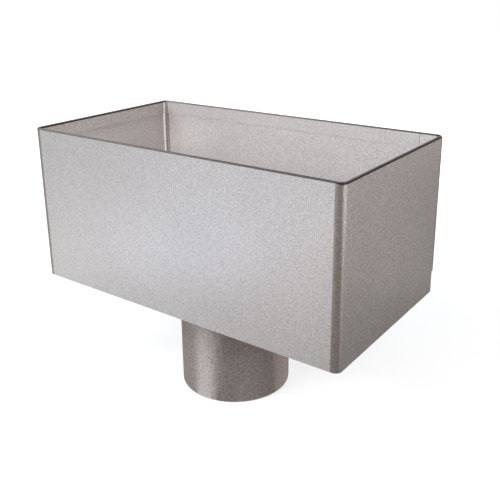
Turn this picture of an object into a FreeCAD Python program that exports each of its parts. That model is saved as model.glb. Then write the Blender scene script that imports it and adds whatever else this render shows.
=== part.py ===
import FreeCAD, Part
import math
import os

# Rectangular rainwater hopper of folded and soldered sheet, in millimetres.
# The origin is the centre of the outlet's lower end. +X runs along the hopper's length,
# the front faces -Y, the wall side faces +Y, and +Z is up.

# Driving dimensions of the body, one sheet folded round all four walls
body_length = 310.0
body_width = 170.0
body_height = 140.0
body_sheet = 1.0
bend_inside_radius = 4.5

# The rim is the same sheet turned down inside the walls
hem_height = 13.0
hem_gap = 0.2

# The sheet closes in a joggled lap on the back wall, beside the right-hand corner
lap_width = 20.0
lap_gap = 0.2
lap_butt_gap = 0.3
lap_joggle_run = 2.0
lap_edge_setback = 1.4

# The base is a pressed pan that stands inside the walls
base_sheet = 1.0
base_rim_height = 17.5
base_bend_inside_radius = 1.5
base_clearance = 0.1

# The outlet is a round spigot hung in the base by its turned-out collar
outlet_diameter = 100.0
outlet_wall = 1.0
outlet_length = 95.0
outlet_collar_bend_radius = 3.5
outlet_collar_seat_width = 4.5
outlet_hole_clearance = 0.2

# Solder along the seams
base_solder_height = 2.0
base_solder_tip = 0.2
outlet_solder_spread = 2.0
lap_solder_recess = 0.5

# Values that follow from the driving dimensions
half_length = body_length / 2
half_width = body_width / 2
base_z = outlet_length
rim_z = base_z + body_height
hem_z = rim_z - hem_height
bend_radius = bend_inside_radius + body_sheet
rim_thickness = 2 * body_sheet + hem_gap
rim_fold_height = rim_thickness / 2
flange_edge_x = half_length - lap_width
butt_x = flange_edge_x - lap_butt_gap
joggle_x = butt_x - lap_joggle_run
lap_edge_x = half_length - lap_edge_setback
lap_inner_y = half_width + lap_gap
lap_outer_y = lap_inner_y + body_sheet
lap_bottom_z = base_z + base_rim_height
lap_top_z = rim_z - rim_thickness
outlet_radius = outlet_diameter / 2
outlet_hole_radius = outlet_radius + outlet_collar_bend_radius + outlet_hole_clearance

# A fold rounded to just under half its thickness keeps a narrow flat between its two roundings
FOLD_ROUNDING_SHARE = 0.97

# The pan's bottom edge is rounded to no more than this share of its upright corners
PAN_ROUNDING_SHARE = 0.9

UP = FreeCAD.Vector(0, 0, 1)


def point(x, y, z=0.0):
    return FreeCAD.Vector(x, y, z)


def rounded_path(corners, radius, inset):
    """Edges of a path with rounded corners, moved inset to the right of its direction.

    radius is the corner radius of the path itself, so all insets share their arc centres.
    """
    points = [point(x, y) for x, y in corners]
    directions = [(b - a).normalize() for a, b in zip(points, points[1:])]
    rights = [point(d.y, -d.x) for d in directions]
    edges = []
    start = points[0] + rights[0] * inset
    for i in range(1, len(points) - 1):
        centre = points[i] - directions[i - 1] * radius + rights[i - 1] * radius
        arc_radius = radius - inset
        arc_start = centre - rights[i - 1] * arc_radius
        arc_end = centre - rights[i] * arc_radius
        outward = (points[i] - centre).normalize()
        edges.append(Part.LineSegment(start, arc_start).toShape())
        edges.append(Part.Arc(arc_start, centre + outward * arc_radius, arc_end).toShape())
        start = arc_end
    edges.append(Part.LineSegment(start, points[-1] + rights[-1] * inset).toShape())
    return edges


def wrap_strip(near, far, bottom, top):
    """The wall sheet's plan, from near to far inside the outer face, raised from bottom to top.

    It starts at the flange's free edge behind the lap and runs clockwise round the four bends
    to the butt on the back wall.
    """
    corners = [
        (flange_edge_x, half_width),
        (half_length, half_width),
        (half_length, -half_width),
        (-half_length, -half_width),
        (-half_length, half_width),
        (butt_x, half_width),
    ]
    near_edges = rounded_path(corners, bend_radius, near)
    far_edges = rounded_path(corners, bend_radius, far)
    start_cap = Part.LineSegment(
        point(flange_edge_x, half_width - far), point(flange_edge_x, half_width - near)
    ).toShape()
    end_cap = Part.LineSegment(
        point(butt_x, half_width - near), point(butt_x, half_width - far)
    ).toShape()
    edges = Part.__sortEdges__([start_cap] + near_edges + [end_cap] + far_edges)
    face = Part.Face(Part.Wire(edges))
    face.translate(UP * bottom)
    return face.extrude(UP * (top - bottom))


def rounded_rectangle(inset, z):
    """The closed outline of the walls' plan, moved inwards by inset, at height z."""
    x = half_length - inset
    y = half_width - inset
    r = bend_radius - inset
    quarter = math.pi / 4
    corner_centres = [(x - r, y - r), (-x + r, y - r), (-x + r, -y + r), (x - r, -y + r)]
    edges = []
    previous = point(x, -y + r, z)
    for i, (cx, cy) in enumerate(corner_centres):
        first = 2 * i * quarter
        arc_points = [
            point(cx + r * math.cos(first + k * quarter), cy + r * math.sin(first + k * quarter), z)
            for k in range(3)
        ]
        edges.append(Part.LineSegment(previous, arc_points[0]).toShape())
        edges.append(Part.Arc(*arc_points).toShape())
        previous = arc_points[2]
    return Part.Wire(edges)


def raised_rectangle(inset, bottom, top):
    """A block with the walls' plan moved inwards by inset."""
    return Part.Face(rounded_rectangle(inset, bottom)).extrude(UP * (top - bottom))


def pan_block(inset, bottom, top, bottom_radius):
    """A raised rectangle with its bottom edge rounded, no more than its corners are."""
    block = raised_rectangle(inset, bottom, top)
    corner_radius = bend_radius - inset
    lowest = [e for e in block.Edges if all(abs(v.Z - bottom) < 1e-6 for v in e.Vertexes)]
    return block.makeFillet(min(bottom_radius, corner_radius * PAN_ROUNDING_SHARE), lowest)


def raised_polygon(corners, bottom, top):
    points = [point(x, y, bottom) for x, y in corners]
    wire = Part.makePolygon(points + points[:1])
    return Part.Face(wire).extrude(UP * (top - bottom))


def revolved(edges):
    """The solid that a closed section in the XZ plane sweeps round the outlet's axis."""
    face = Part.Face(Part.Wire(Part.__sortEdges__(edges)))
    return face.revolve(point(0, 0), UP, 360)


def section_line(start, end):
    return Part.LineSegment(point(start[0], 0, start[1]), point(end[0], 0, end[1])).toShape()


def section_arc(centre, radius, start_degrees, end_degrees):
    angles = [start_degrees, (start_degrees + end_degrees) / 2, end_degrees]
    points = [
        point(
            centre[0] + radius * math.cos(math.radians(a)),
            0,
            centre[1] + radius * math.sin(math.radians(a)),
        )
        for a in angles
    ]
    return Part.Arc(*points).toShape()


def make_rim_hem():
    """The doubled rim: a fold rounded over the top with a thin slot between its two plies."""
    hem = wrap_strip(0, rim_thickness, hem_z, rim_z)
    along_rim = [
        e
        for e in hem.Edges
        if all(abs(v.Z - rim_z) < 1e-6 for v in e.Vertexes) and not is_sheet_end(e)
    ]
    hem = hem.makeFillet(rim_fold_height * FOLD_ROUNDING_SHARE, along_rim)
    slot = wrap_strip(body_sheet, body_sheet + hem_gap, hem_z, rim_z - body_sheet)
    return hem.cut(slot)


def is_sheet_end(edge):
    """Whether an edge crosses the sheet's thickness at one of its two ends."""
    first, last = edge.Vertexes[0].Point, edge.Vertexes[-1].Point
    at_one_x = abs(first.x - last.x) < 1e-6
    at_end = min(abs(first.x - flange_edge_x), abs(first.x - butt_x)) < 1e-6
    return at_one_x and at_end


def make_lap_strip():
    """The end of the back sheet, stepped outwards by its thickness to pass over the flange.

    It stops below the rim's fold, and above the height of the base's rim.
    """
    plan = [
        (joggle_x, half_width - body_sheet),
        (joggle_x, half_width),
        (butt_x, lap_outer_y),
        (lap_edge_x, lap_outer_y),
        (lap_edge_x, lap_inner_y),
        (butt_x, lap_inner_y),
    ]
    return raised_polygon(plan, lap_bottom_z, lap_top_z)


def make_joggle_relief():
    """The space that the stepped sheet leaves in the outer ply beside the flange's free edge."""
    plan = [
        (joggle_x, half_width - body_sheet),
        (joggle_x, half_width),
        (butt_x, half_width),
        (butt_x, half_width - body_sheet),
    ]
    return raised_polygon(plan, lap_bottom_z, lap_top_z)


def make_hopper_body():
    walls = wrap_strip(0, body_sheet, base_z, hem_z)
    sheet = walls.fuse(make_rim_hem()).cut(make_joggle_relief())
    return sheet.fuse(make_lap_strip()).removeSplitter()


def make_base_pan():
    outside = body_sheet + base_clearance
    inside = outside + base_sheet
    top = base_z + base_rim_height
    pan = pan_block(outside, base_z, top, base_bend_inside_radius + base_sheet)
    hollow = pan_block(inside, base_z + base_sheet, top, base_bend_inside_radius)
    hole = Part.makeCylinder(outlet_hole_radius, base_sheet, point(0, 0, base_z))
    return pan.cut([hollow, hole])


def make_outlet_spigot():
    """A tube with its upper end turned out into a collar that lies on the base."""
    seat_z = base_z + base_sheet
    bend = outlet_collar_bend_radius
    bend_centre = (outlet_radius + bend, seat_z - bend)
    bore_radius = outlet_radius - outlet_wall
    collar_radius = outlet_radius + bend + outlet_collar_seat_width
    collar_top_z = seat_z + outlet_wall
    return revolved(
        [
            section_line((bore_radius, 0), (outlet_radius, 0)),
            section_line((outlet_radius, 0), (outlet_radius, seat_z - bend)),
            section_arc(bend_centre, bend, 180, 90),
            section_line((outlet_radius + bend, seat_z), (collar_radius, seat_z)),
            section_line((collar_radius, seat_z), (collar_radius, collar_top_z)),
            section_line((collar_radius, collar_top_z), (outlet_radius + bend, collar_top_z)),
            section_arc(bend_centre, bend + outlet_wall, 90, 180),
            section_line((bore_radius, seat_z - bend), (bore_radius, 0)),
        ]
    )


def make_outlet_solder():
    """A ring under the base round the spigot, filling the space beside the collar's bend."""
    seat_z = base_z + base_sheet
    bend = outlet_collar_bend_radius
    bend_centre = (outlet_radius + bend, seat_z - bend)
    spread_radius = outlet_hole_radius + outlet_solder_spread
    return revolved(
        [
            section_line((outlet_radius, seat_z - bend), (spread_radius, base_z)),
            section_line((spread_radius, base_z), (outlet_hole_radius, base_z)),
            section_line((outlet_hole_radius, base_z), (outlet_hole_radius, seat_z)),
            section_line((outlet_hole_radius, seat_z), (outlet_radius + bend, seat_z)),
            section_arc(bend_centre, bend, 90, 180),
        ]
    )


def make_base_solder():
    """A fillet all round the inside, from the walls down onto the base pan's rim."""
    low_z = base_z + base_rim_height
    high_z = low_z + base_solder_height
    block = raised_rectangle(body_sheet, low_z, high_z)
    low_outline = rounded_rectangle(body_sheet + base_clearance + base_sheet, low_z)
    high_outline = rounded_rectangle(body_sheet + base_solder_tip, high_z)
    hollow = Part.makeLoft([low_outline, high_outline], True, True)
    return block.cut(hollow)


def make_lap_solder():
    """Solder in the crevice between the lap's free edge and the back right bend."""
    end_x = lap_edge_x - lap_solder_recess
    bend_centre = point(half_length - bend_radius, half_width - bend_radius)
    end_angle = math.acos((end_x - bend_centre.x) / bend_radius)
    middle_angle = (math.pi / 2 + end_angle) / 2
    arc_points = [
        bend_centre + point(math.cos(a), math.sin(a)) * bend_radius
        for a in (math.pi / 2, middle_angle, end_angle)
    ]
    inner_corner = point(bend_centre.x, lap_inner_y)
    outer_corner = point(end_x, lap_inner_y)
    wire = Part.Wire(
        [
            Part.Arc(*arc_points).toShape(),
            Part.LineSegment(arc_points[2], outer_corner).toShape(),
            Part.LineSegment(outer_corner, inner_corner).toShape(),
            Part.LineSegment(inner_corner, arc_points[0]).toShape(),
        ]
    )
    face = Part.Face(wire)
    face.translate(UP * lap_bottom_z)
    return face.extrude(UP * (lap_top_z - lap_bottom_z))


def main():
    pieces = {
        "hopper_body": make_hopper_body(),
        "base_pan": make_base_pan(),
        "outlet_spigot": make_outlet_spigot(),
        "lap_solder": make_lap_solder(),
        "base_solder": make_base_solder(),
        "outlet_solder": make_outlet_solder(),
    }
    os.makedirs("parts", exist_ok=True)
    for name, shape in pieces.items():
        print(name, "valid", shape.isValid(), "solids", len(shape.Solids), "volume", round(shape.Volume, 1))
        shape.exportStep("parts/" + name + ".step")


main()
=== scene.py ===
import math

import bpy
from mathutils import Matrix, Vector


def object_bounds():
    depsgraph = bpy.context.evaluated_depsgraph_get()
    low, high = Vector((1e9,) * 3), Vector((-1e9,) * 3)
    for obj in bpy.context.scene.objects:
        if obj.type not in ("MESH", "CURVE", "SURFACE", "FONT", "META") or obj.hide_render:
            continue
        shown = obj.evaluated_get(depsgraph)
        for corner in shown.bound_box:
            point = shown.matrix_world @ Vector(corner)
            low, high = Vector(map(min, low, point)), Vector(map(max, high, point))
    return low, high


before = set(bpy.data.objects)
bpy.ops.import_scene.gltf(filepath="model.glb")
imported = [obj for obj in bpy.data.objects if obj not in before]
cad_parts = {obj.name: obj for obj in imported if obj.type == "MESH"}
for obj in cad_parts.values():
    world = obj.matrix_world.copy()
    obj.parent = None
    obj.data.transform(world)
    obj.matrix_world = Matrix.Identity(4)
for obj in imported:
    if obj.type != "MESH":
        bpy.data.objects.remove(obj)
cad_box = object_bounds()

# The camera's place and direction, in metres and degrees. Yaw turns away from +Y towards +X.
CAMERA_POSITION = (0.3584, -0.4664, 0.3624)
CAMERA_YAW = -36.09
CAMERA_PITCH_DOWN = 17.87
CAMERA_ROLL = -0.57
CAMERA_LENS_MM = 50.43
CAMERA_SHIFT_Y = -0.10

# The floor, which glows less near the object so that the shadow shows, and the ambient light
FLOOR_HALF_SIZE = 20.0
FLOOR_COLOR = (0.45, 0.445, 0.44)
FLOOR_GLOW_NEAR = 0.48
FLOOR_GLOW_FAR = 1.0
SHADOW_RADIUS = 0.35
WHITE_RADIUS = 1.2
AMBIENT_COLOR = (1.0, 0.98, 0.96)
AMBIENT_STRENGTH = 0.02

# Tints of the lamps and cards
WARM = (1.06, 0.985, 0.955)
TAN = (1.14, 0.97, 0.88)
COOL = (0.945, 1.0, 1.055)
BLUE = (0.88, 1.0, 1.2)
NEUTRAL = (1.0, 1.0, 1.0)

# Soft boxes: name, azimuth, elevation, watts, tint
SOFT_BOXES = [
    ("key_front_left", 112, 35, 28, COOL),
    ("fill_front", 90, 35, 8, WARM),
    ("fill_front_right", 30, 35, 13, WARM),
    ("fill_behind", -90, 35, 26, COOL),
]
SOFT_BOX_SIZE = 1.0
SOFT_BOX_DISTANCE = 1.5
AIM_POINT = Vector((0.0, 0.0, 0.15))

# Rings of cards round the object: first and last azimuth, brightness, tint.
# The inner, middle and outer cards lie on the floor and the last ones stand up behind them.
INNER_CARDS = [
    (-90, 72, 0.02, WARM),
    (72, 120, 0.20, TAN),
    (120, 150, 0.35, WARM),
    (150, 270, 0.44, NEUTRAL),
]
MIDDLE_CARDS = [
    (-90, -54, 0.06, WARM),
    (-54, 30, 0.26, WARM),
    (30, 90, 0.02, WARM),
    (90, 105, 0.96, WARM),
    (105, 120, 1.13, BLUE),
    (120, 132, 1.01, BLUE),
    (132, 150, 0.88, NEUTRAL),
    (150, 270, 0.30, NEUTRAL),
]
OUTER_CARDS = [
    (-90, -54, 0.08, WARM),
    (-54, 30, 0.26, WARM),
    (30, 90, 0.02, WARM),
    (90, 120, 0.24, WARM),
    (120, 132, 0.44, BLUE),
    (132, 150, 0.39, WARM),
    (150, 270, 0.30, NEUTRAL),
]
STANDING_CARDS = [
    (-90, -60, 0.18, WARM),
    (-60, -30, 0.70, WARM),
    (-30, 30, 1.45, WARM),
    (30, 150, 0.02, NEUTRAL),
    (150, 270, 0.33, NEUTRAL),
]
INNER_CARDS_FROM = 0.20
MIDDLE_CARDS_FROM = 0.36
OUTER_CARDS_FROM = 0.62
STANDING_CARDS_AT = 1.2
STANDING_CARD_HEIGHT = 1.0
CARD_LIFT = 0.0004
DEGREES_PER_FACE = 3

# Fans of card at the spigot's foot: first and last angle from the camera's side, brightness, tint
SPIGOT_FANS = [
    (-90, -75, 0.0, WARM),
    (-75, -45, 0.38, WARM),
    (-45, 0, 0.16, WARM),
    (0, 21, 0.07, WARM),
    (21, 27, 0.42, NEUTRAL),
    (27, 45, 0.81, COOL),
    (45, 90, 0.25, WARM),
]
SPIGOT_FOOT_RADIUS = 0.0495
SPIGOT_BACK_BRIGHTNESS = 0.2
FAN_LENGTH = 0.13
FAN_LIFT = 0.0006

# Heights of the hopper's rim, of the foot of its walls, and of the hem itself
RIM_Z = cad_box[1][2]
FOOT_Z = 0.095
HEM_HEIGHT = 0.013

# Grain, slow changes of tone, and the warmer tint of darker places
GRAIN_SCALE = 1150.0
GRAIN_RANGE = (0.2, 0.8)
EVEN_GRAIN = (1, 1, 1)
ROUND_THE_TUBE = (0.4, 0.4, 0.85)
SHORT_WALL_GRAIN = 1.6
CLOUD_SCALE = 14.0
CLOUD_RANGE = (0.3, 0.7)
CLOUD_TONES = (0.98, 1.02)
DARK_TINT = (1.16, 1.0, 0.88)
ROUGHNESS_SPREAD = 0.03
BUMP_STRENGTH = 0.15
BUMP_DISTANCE = 0.0002

# How the walls are told apart: the size of the normal's parts, and distances in metres
LONG_WALL_NORMAL = (0.7, 0.9)
LEANING_NORMAL = (0.1, 0.3)
OUTSIDE_RANGE = (-0.02, 0.02)
SHORT_WALL_X = (0.1495, 0.153)

# Painted reflections of the upright bends, a dark band and a highlight: tones, distances along X in metres,
# and turns from the long wall in degrees
BEND_PAINTED_DARK = 0.48
BEND_PAINTED_DARK_FROM_X = (0.148, 0.1487)
BEND_PAINTED_DARK_SHIFT_INSIDE = 0.0011
BEND_PAINTED_DARK_TO_TOP = 50
BEND_PAINTED_DARK_TO_FOOT = 66
BEND_PAINTED_DARK_SOFTNESS = 11
BEND_HIGHLIGHT_TOP = 1.05
BEND_HIGHLIGHT_FOOT = 0.82
BEND_HIGHLIGHT_INSIDE = 2.5
BEND_HIGHLIGHT_RISE = (50, 70)
BEND_HIGHLIGHT_FALL = (76, 89)

# The painted dark reflection along the rim's fold: tones, and depths below the rim. The pairs go from left
# to right.
FOLD_PAINTED_DARK_X = (-0.15, 0.15)
FOLD_PAINTED_DARK_LONG = (0.28, 0.06)
FOLD_PAINTED_DARK_SHORT = 0.05
FOLD_DEPTH_LONG = 0.0016
FOLD_DEPTH_SHORT = 0.0022
FOLD_SOFTNESS = 0.0006

# The painted light strip under the hem of the long walls, which cancels the hem's shadow
UNDER_HEM_PAINTED_LIGHT = 1.45
UNDER_HEM_DEPTH = 0.0018
UNDER_HEM_SOFTNESS = 0.0001

# Painted light and shade on the walls' insides: tones, and depths below the rim. The pairs of tones go from
# front to back.
CORNER_PAINTED_LIGHT = 1.38
CORNER_PAINTED_LIGHT_X = (-0.149, -0.080)
CORNER_PAINTED_LIGHT_DEPTH = (0.006, 0.045)
SHORT_INSIDE_Y = (-0.06, 0.08)
SHORT_INSIDE_RIM_PAINTED_SHADE = (0.93, 0.80)
SHORT_INSIDE_LOW_PAINTED_TONES = (1.08, 0.87)
SHORT_INSIDE_DEPTH = (0.008, 0.030)


def direction_to(azimuth, elevation):
    """The unit vector at an azimuth from +X towards -Y, and an elevation, in degrees."""
    a = math.radians(azimuth)
    e = math.radians(elevation)
    return Vector((math.cos(a) * math.cos(e), -math.sin(a) * math.cos(e), math.sin(e)))


def make_camera():
    """The camera that was fitted to the photograph."""
    data = bpy.data.cameras.new("photo_camera")
    data.lens = CAMERA_LENS_MM
    data.shift_y = CAMERA_SHIFT_Y
    camera = bpy.data.objects.new("photo_camera", data)
    bpy.context.scene.collection.objects.link(camera)
    camera.matrix_world = (
        Matrix.Translation(CAMERA_POSITION)
        @ Matrix.Rotation(math.radians(-CAMERA_YAW), 4, "Z")
        @ Matrix.Rotation(math.radians(90 - CAMERA_PITCH_DOWN), 4, "X")
        @ Matrix.Rotation(math.radians(CAMERA_ROLL), 4, "Z")
    )
    bpy.context.scene.camera = camera


class NodeBuilder:
    """Adds nodes to a material or world and links them."""

    def __init__(self, owner):
        owner.use_nodes = True
        self.tree = owner.node_tree
        self.tree.nodes.clear()

    def add(self, kind, inputs=None, **settings):
        """A new node. An input is linked where its value is a socket, and set where it is a plain value."""
        node = self.tree.nodes.new(kind)
        for name, value in settings.items():
            setattr(node, name, value)
        for name, value in (inputs or {}).items():
            if isinstance(value, bpy.types.NodeSocket):
                self.tree.links.new(value, node.inputs[name])
            else:
                node.inputs[name].default_value = value
        return node

    def math(self, operation, first, second=0.0):
        return self.add("ShaderNodeMath", {0: first, 1: second}, operation=operation).outputs[0]

    def multiply(self, first, second):
        return self.math("MULTIPLY", first, second)

    def size_of(self, value):
        """The value without its sign."""
        return self.math("ABSOLUTE", value)

    def split(self, vector):
        """The three parts of a vector, by the names X, Y and Z."""
        return self.add("ShaderNodeSeparateXYZ", {0: vector}).outputs

    def map_range(self, value, low, high, to_low=0.0, to_high=1.0, interpolation="SMOOTHSTEP"):
        """Maps a value from one range to another, and holds it there at both ends."""
        node = self.add(
            "ShaderNodeMapRange",
            {"Value": value, "From Min": low, "From Max": high, "To Min": to_low, "To Max": to_high},
            interpolation_type=interpolation,
        )
        return node.outputs["Result"]

    def mix(self, factor, first, second):
        """A number that goes from the first to the second as the factor goes from 0 to 1."""
        node = self.add("ShaderNodeMix", {0: factor, 2: first, 3: second}, data_type="FLOAT")
        return node.outputs[0]

    def mix_colors(self, factor, first, second):
        """A colour that goes from the first to the second as the factor goes from 0 to 1.

        The node has a pair of inputs and an output for each type. Those of colours are 6, 7 and 2.
        """
        node = self.add("ShaderNodeMix", {0: factor, 6: (*first, 1), 7: (*second, 1)}, data_type="RGBA")
        return node.outputs[2]

    def noise(self, position, scale, detail):
        node = self.add("ShaderNodeTexNoise", {"Vector": position, "Scale": scale, "Detail": detail})
        return node.outputs[0]


def seen_directly(nodes):
    """1 for rays that show the background: from the camera, a reflection or through glass."""
    path = nodes.add("ShaderNodeLightPath")
    direct = nodes.math("MAXIMUM", path.outputs["Is Camera Ray"], path.outputs["Is Glossy Ray"])
    return nodes.math("MAXIMUM", direct, path.outputs["Is Transmission Ray"])


def make_world():
    """Weak ambient light, in front of a background that is seen as white."""
    world = bpy.data.worlds.new("studio_world")
    bpy.context.scene.world = world
    nodes = NodeBuilder(world)
    ambient = nodes.add(
        "ShaderNodeBackground", {"Color": (*AMBIENT_COLOR, 1), "Strength": AMBIENT_STRENGTH}
    )
    white = nodes.add("ShaderNodeBackground", {"Color": (1, 1, 1, 1), "Strength": 1.0})
    shown = nodes.add(
        "ShaderNodeMixShader", {0: seen_directly(nodes), 1: ambient.outputs[0], 2: white.outputs[0]}
    )
    nodes.add("ShaderNodeOutputWorld", {"Surface": shown.outputs[0]})


def make_floor():
    """A pale floor that shows white where the light reaches it and keeps a soft shadow."""
    half = FLOOR_HALF_SIZE
    mesh = bpy.data.meshes.new("floor")
    corners = [(-half, -half, 0), (half, -half, 0), (half, half, 0), (-half, half, 0)]
    mesh.from_pydata(corners, [], [(0, 1, 2, 3)])
    material = bpy.data.materials.new("floor_white")
    mesh.materials.append(material)
    nodes = NodeBuilder(material)
    diffuse = nodes.add("ShaderNodeBsdfDiffuse", {"Color": (*FLOOR_COLOR, 1)})
    place = nodes.add("ShaderNodeTexCoord").outputs["Object"]
    distance = nodes.add("ShaderNodeVectorMath", {0: place}, operation="LENGTH").outputs["Value"]
    level = nodes.map_range(distance, SHADOW_RADIUS, WHITE_RADIUS, FLOOR_GLOW_NEAR, FLOOR_GLOW_FAR)
    glow_strength = nodes.multiply(seen_directly(nodes), level)
    glow = nodes.add("ShaderNodeEmission", {"Color": (1, 1, 1, 1), "Strength": glow_strength})
    surface = nodes.add("ShaderNodeAddShader", {0: diffuse.outputs[0], 1: glow.outputs[0]})
    nodes.add("ShaderNodeOutputMaterial", {"Surface": surface.outputs[0]})
    floor = bpy.data.objects.new("floor", mesh)
    bpy.context.scene.collection.objects.link(floor)


def aim(obj, position):
    """Places obj so that its -Z side faces the aim point."""
    toward = (AIM_POINT - position).normalized()
    rotation = toward.to_track_quat("-Z", "Y").to_matrix().to_4x4()
    obj.matrix_world = Matrix.Translation(position) @ rotation


def make_soft_boxes():
    for name, azimuth, elevation, watts, color in SOFT_BOXES:
        data = bpy.data.lights.new(name, "AREA")
        data.size = SOFT_BOX_SIZE
        data.energy = watts
        data.color = color
        lamp = bpy.data.objects.new(name, data)
        bpy.context.scene.collection.objects.link(lamp)
        aim(lamp, AIM_POINT + direction_to(azimuth, elevation) * SOFT_BOX_DISTANCE)


def card_material(name, brightness, tint):
    material = bpy.data.materials.new(name)
    nodes = NodeBuilder(material)
    glow = nodes.add("ShaderNodeEmission", {"Color": (*tint, 1), "Strength": brightness})
    nodes.add("ShaderNodeOutputMaterial", {"Surface": glow.outputs[0]})
    return material


def make_card(name, near_points, far_points, brightness, tint):
    """A glowing card between two rows of points, which shows only as a reflection in the metal."""
    count = len(near_points)
    faces = [(i, i + 1, count + i + 1, count + i) for i in range(count - 1)]
    mesh = bpy.data.meshes.new(name)
    mesh.from_pydata([*near_points, *far_points], [], faces)
    mesh.materials.append(card_material(name, brightness, tint))
    card = bpy.data.objects.new(name, mesh)
    bpy.context.scene.collection.objects.link(card)
    card.visible_camera = False
    card.visible_diffuse = False
    card.visible_shadow = False
    card.visible_transmission = False


def steps_between(first, last):
    """Angles from the first to the last in steps of one face."""
    count = round((last - first) / DEGREES_PER_FACE)
    return [first + i * DEGREES_PER_FACE for i in range(count + 1)]


def arc(first, last, radius, height):
    """A row of points round the object at a radius and height."""
    up = Vector((0, 0, height))
    return [direction_to(azimuth, 0) * radius + up for azimuth in steps_between(first, last)]


def make_ring(name, cards, near_radius, far_radius, near_height, far_height):
    for i, (first, last, brightness, tint) in enumerate(cards):
        near_points = arc(first, last, near_radius, near_height)
        far_points = arc(first, last, far_radius, far_height)
        make_card(f"{name}_{i}", near_points, far_points, brightness, tint)


def make_spigot_fans():
    """Cards whose edges run the way that the spigot's upright lines are reflected to the camera.

    A fan's reflection is then an upright band on the tube, as straight as the tube itself.
    """
    camera_azimuth = math.degrees(math.atan2(-CAMERA_POSITION[1], CAMERA_POSITION[0]))
    up = Vector((0, 0, FAN_LIFT))
    for i, (first, last, brightness, tint) in enumerate(SPIGOT_FANS):
        feet = []
        tips = []
        for turn in steps_between(first, last):
            foot = direction_to(camera_azimuth + turn, 0) * SPIGOT_FOOT_RADIUS + up
            feet.append(foot)
            tips.append(foot + direction_to(camera_azimuth + 2 * turn, 0) * FAN_LENGTH)
        make_card(f"spigot_fan_{i}", feet, tips, brightness, tint)


def make_reflection_cards():
    spigot_cards = [(0, 360, SPIGOT_BACK_BRIGHTNESS, NEUTRAL)]
    floor_rings = [
        ("spigot_card", spigot_cards, SPIGOT_FOOT_RADIUS, INNER_CARDS_FROM),
        ("inner_card", INNER_CARDS, INNER_CARDS_FROM, MIDDLE_CARDS_FROM),
        ("middle_card", MIDDLE_CARDS, MIDDLE_CARDS_FROM, OUTER_CARDS_FROM),
        ("outer_card", OUTER_CARDS, OUTER_CARDS_FROM, STANDING_CARDS_AT),
    ]
    for name, cards, near_radius, far_radius in floor_rings:
        make_ring(name, cards, near_radius, far_radius, CARD_LIFT, CARD_LIFT)
    radius = STANDING_CARDS_AT
    make_ring("standing_card", STANDING_CARDS, radius, radius, 0, STANDING_CARD_HEIGHT)
    make_spigot_fans()


class SheetPlace:
    """Where a point of the folded sheet lies and which way it faces, as sockets for the painted
    reflections, light and shade.
    """

    def __init__(self, nodes, texture):
        position = texture.outputs["Object"]
        normal = texture.outputs["Normal"]
        place = nodes.split(position)
        facing = nodes.split(normal)
        self.x = place["X"]
        self.y = place["Y"]
        self.height = place["Z"]
        self.depth = nodes.math("SUBTRACT", RIM_Z, self.height)
        self.end_distance = nodes.size_of(self.x)
        self.across = nodes.size_of(facing["X"])
        self.along = nodes.size_of(facing["Y"])
        self.leaning = nodes.size_of(facing["Z"])
        self.long_wall = nodes.map_range(self.along, *LONG_WALL_NORMAL)
        away = nodes.add("ShaderNodeVectorMath", {0: normal, 1: position}, operation="DOT_PRODUCT")
        self.outside = nodes.map_range(away.outputs["Value"], *OUTSIDE_RANGE)


def bend_painted_dark_band(nodes, place, turn):
    """1 in the painted dark reflection band of an upright bend, beside the long wall. It widens towards the
    foot.
    """
    shift = nodes.mix(place.outside, BEND_PAINTED_DARK_SHIFT_INSIDE, 0.0)
    shifted = nodes.math("SUBTRACT", place.end_distance, shift)
    near_bend = nodes.map_range(shifted, *BEND_PAINTED_DARK_FROM_X)
    last_turn = nodes.map_range(place.height, FOOT_Z, RIM_Z, BEND_PAINTED_DARK_TO_FOOT, BEND_PAINTED_DARK_TO_TOP)
    past_last = nodes.math("SUBTRACT", turn, last_turn)
    past_band = nodes.map_range(past_last, -BEND_PAINTED_DARK_SOFTNESS, BEND_PAINTED_DARK_SOFTNESS)
    return nodes.multiply(near_bend, nodes.math("SUBTRACT", 1.0, past_band))


def bend_painted_reflections(nodes, place):
    """The tone that each upright bend gives, told from the way that the surface faces.

    A painted reflection: a dark band beside the long walls and a painted highlight beside the short ones.
    The painted highlight fades downwards on the outside, and is brighter in the inside corners.
    """
    turn = nodes.math("DEGREES", nodes.math("ARCTAN2", place.across, place.along))
    upright = nodes.map_range(place.leaning, *LEANING_NORMAL, 1.0, 0.0)
    painted_dark = bend_painted_dark_band(nodes, place, turn)
    rise = nodes.map_range(turn, *BEND_HIGHLIGHT_RISE)
    fall = nodes.map_range(turn, *BEND_HIGHLIGHT_FALL, 1.0, 0.0)
    painted_highlight = nodes.multiply(rise, fall)
    outside_highlight_tone = nodes.map_range(place.height, FOOT_Z, RIM_Z, BEND_HIGHLIGHT_FOOT, BEND_HIGHLIGHT_TOP)
    highlight_tone = nodes.mix(place.outside, BEND_HIGHLIGHT_INSIDE, outside_highlight_tone)
    tone = nodes.mix(nodes.multiply(painted_dark, upright), 1.0, BEND_PAINTED_DARK)
    return nodes.mix(nodes.multiply(painted_highlight, upright), tone, highlight_tone)


def fold_painted_dark_reflection(nodes, place):
    """A painted dark reflection along the top of the rim's fold, fainter to the left on the long walls."""
    short_wall = nodes.map_range(place.end_distance, *SHORT_WALL_X)
    long_tone = nodes.map_range(place.x, *FOLD_PAINTED_DARK_X, *FOLD_PAINTED_DARK_LONG)
    fold_tone = nodes.mix(short_wall, long_tone, FOLD_PAINTED_DARK_SHORT)
    fold_depth = nodes.mix(short_wall, FOLD_DEPTH_LONG, FOLD_DEPTH_SHORT)
    above_end = nodes.math("SUBTRACT", fold_depth, place.depth)
    return nodes.mix(nodes.map_range(above_end, 0.0, FOLD_SOFTNESS), 1.0, fold_tone)


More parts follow.
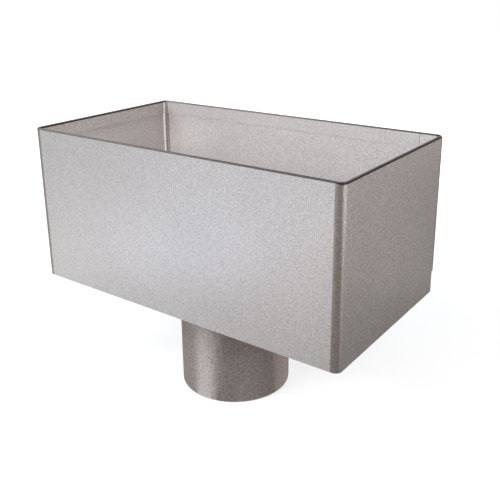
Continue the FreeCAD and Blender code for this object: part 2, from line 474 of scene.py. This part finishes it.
def under_hem_painted_light(nodes, place):
    """A painted light strip just under the hem of the long walls, which cancels the shadow that the hem
    casts there.
    """
    below_hem = nodes.math("SUBTRACT", RIM_Z - HEM_HEIGHT, place.height)
    strip = nodes.map_range(below_hem, 0.0, UNDER_HEM_DEPTH, UNDER_HEM_PAINTED_LIGHT, 1.0)
    on_wall = nodes.map_range(below_hem, -UNDER_HEM_SOFTNESS, 0.0)
    inside_wall = nodes.multiply(on_wall, nodes.math("SUBTRACT", 1.0, place.outside))
    return nodes.mix(nodes.multiply(inside_wall, place.long_wall), 1.0, strip)


def inside_painted_light_and_shade(nodes, place):
    """Painted light and shade on the walls' insides, which evens out the shading that their reflections
    give.

    The long walls have painted light low down beside their left end. The short walls have painted shade at
    the rim and towards the back.
    """
    left = nodes.map_range(place.x, *CORNER_PAINTED_LIGHT_X, 1.0, 0.0, "LINEAR")
    low = nodes.map_range(place.depth, *CORNER_PAINTED_LIGHT_DEPTH)
    long_tone = nodes.mix(nodes.multiply(left, low), 1.0, CORNER_PAINTED_LIGHT)
    back = nodes.map_range(place.y, *SHORT_INSIDE_Y)
    rim_tone = nodes.mix(back, *SHORT_INSIDE_RIM_PAINTED_SHADE)
    low_tone = nodes.mix(back, *SHORT_INSIDE_LOW_PAINTED_TONES)
    below = nodes.map_range(place.depth, *SHORT_INSIDE_DEPTH)
    short_tone = nodes.mix(below, rim_tone, low_tone)
    return nodes.mix(place.outside, nodes.mix(place.long_wall, short_tone, long_tone), 1.0)


def sheet_metal(name, color, metallic, roughness, grain_strength, grain_axes=EVEN_GRAIN, folded=False):
    """Satin grey sheet with a fine grain, drawn out where grain_axes is small, and slow changes of tone.

    A folded sheet also has painted reflections at the hopper's bends and rim, and painted light and shade
    on its insides.
    """
    material = bpy.data.materials.new(name)
    nodes = NodeBuilder(material)
    texture = nodes.add("ShaderNodeTexCoord")
    position = texture.outputs["Object"]
    stretched = nodes.add("ShaderNodeVectorMath", {0: position, 1: grain_axes}, operation="MULTIPLY")
    grain = nodes.noise(stretched.outputs[0], GRAIN_SCALE, detail=1.0)
    clouds = nodes.noise(position, CLOUD_SCALE, detail=3.0)
    tone = nodes.map_range(clouds, *CLOUD_RANGE, *CLOUD_TONES)
    if folded:
        place = SheetPlace(nodes, texture)
        # Painted reflections at the bends and rim's fold, and painted light and shade under the hem and on
        # the insides
        for painted_tone in (bend_painted_reflections, fold_painted_dark_reflection, under_hem_painted_light, inside_painted_light_and_shade):
            tone = nodes.multiply(tone, painted_tone(nodes, place))
        grain_strength = nodes.mix(place.across, grain_strength, grain_strength * SHORT_WALL_GRAIN)
    centred_grain = nodes.map_range(grain, *GRAIN_RANGE, -1.0, 1.0, "LINEAR")
    grain_tone = nodes.math("ADD", 1.0, nodes.multiply(centred_grain, grain_strength))
    tone = nodes.multiply(grain_tone, tone)
    warm_color = [level * tint for level, tint in zip(color, DARK_TINT)]
    hue = nodes.mix_colors(tone, warm_color, color)
    tinted = nodes.add("ShaderNodeVectorMath", {0: hue, "Scale": tone}, operation="SCALE")
    smoothest = roughness - ROUGHNESS_SPREAD
    roughest = roughness + ROUGHNESS_SPREAD
    bump = nodes.add(
        "ShaderNodeBump", {"Height": grain, "Strength": BUMP_STRENGTH, "Distance": BUMP_DISTANCE}
    )
    shader = nodes.add(
        "ShaderNodeBsdfPrincipled",
        {
            "Base Color": tinted.outputs[0],
            "Metallic": metallic,
            "Roughness": nodes.map_range(grain, *GRAIN_RANGE, smoothest, roughest, "LINEAR"),
            "Normal": bump.outputs[0],
        },
    )
    nodes.add("ShaderNodeOutputMaterial", {"Surface": shader.outputs[0]})
    return material


def folded_sheet():
    """The four walls, with painted reflections at their bends and rim, and painted light and shade inside.
    """
    return sheet_metal(
        "folded_sheet",
        color=(0.607, 0.584, 0.578),
        metallic=0.7,
        roughness=0.38,
        grain_strength=0.31,
        folded=True,
    )


def base_sheet():
    """The pan, a little darker than the walls."""
    return sheet_metal(
        "base_sheet", color=(0.59, 0.568, 0.562), metallic=0.7, roughness=0.38, grain_strength=0.31
    )


def tube_sheet():
    """The spigot, darker and warmer, with its grain drawn out round the tube."""
    return sheet_metal(
        "tube_sheet",
        color=(0.525, 0.471, 0.450),
        metallic=0.8,
        roughness=0.35,
        grain_strength=0.40,
        grain_axes=ROUND_THE_TUBE,
    )


def dull_solder():
    """The three solder runs, duller and almost without grain."""
    return sheet_metal(
        "dull_solder", color=(0.50, 0.50, 0.505), metallic=0.8, roughness=0.5, grain_strength=0.06
    )


def dress(material, *node_names):
    """Gives CAD nodes their material."""
    for node_name in node_names:
        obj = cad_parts[node_name]
        obj.data.materials.clear()
        obj.data.materials.append(material)


bpy.context.scene.view_settings.view_transform = "Standard"
make_camera()
make_world()
make_floor()
make_soft_boxes()
make_reflection_cards()
dress(folded_sheet(), "hopper_body")
dress(base_sheet(), "base_pan")
dress(tube_sheet(), "outlet_spigot")
dress(dull_solder(), "lap_solder", "base_solder", "outlet_solder")
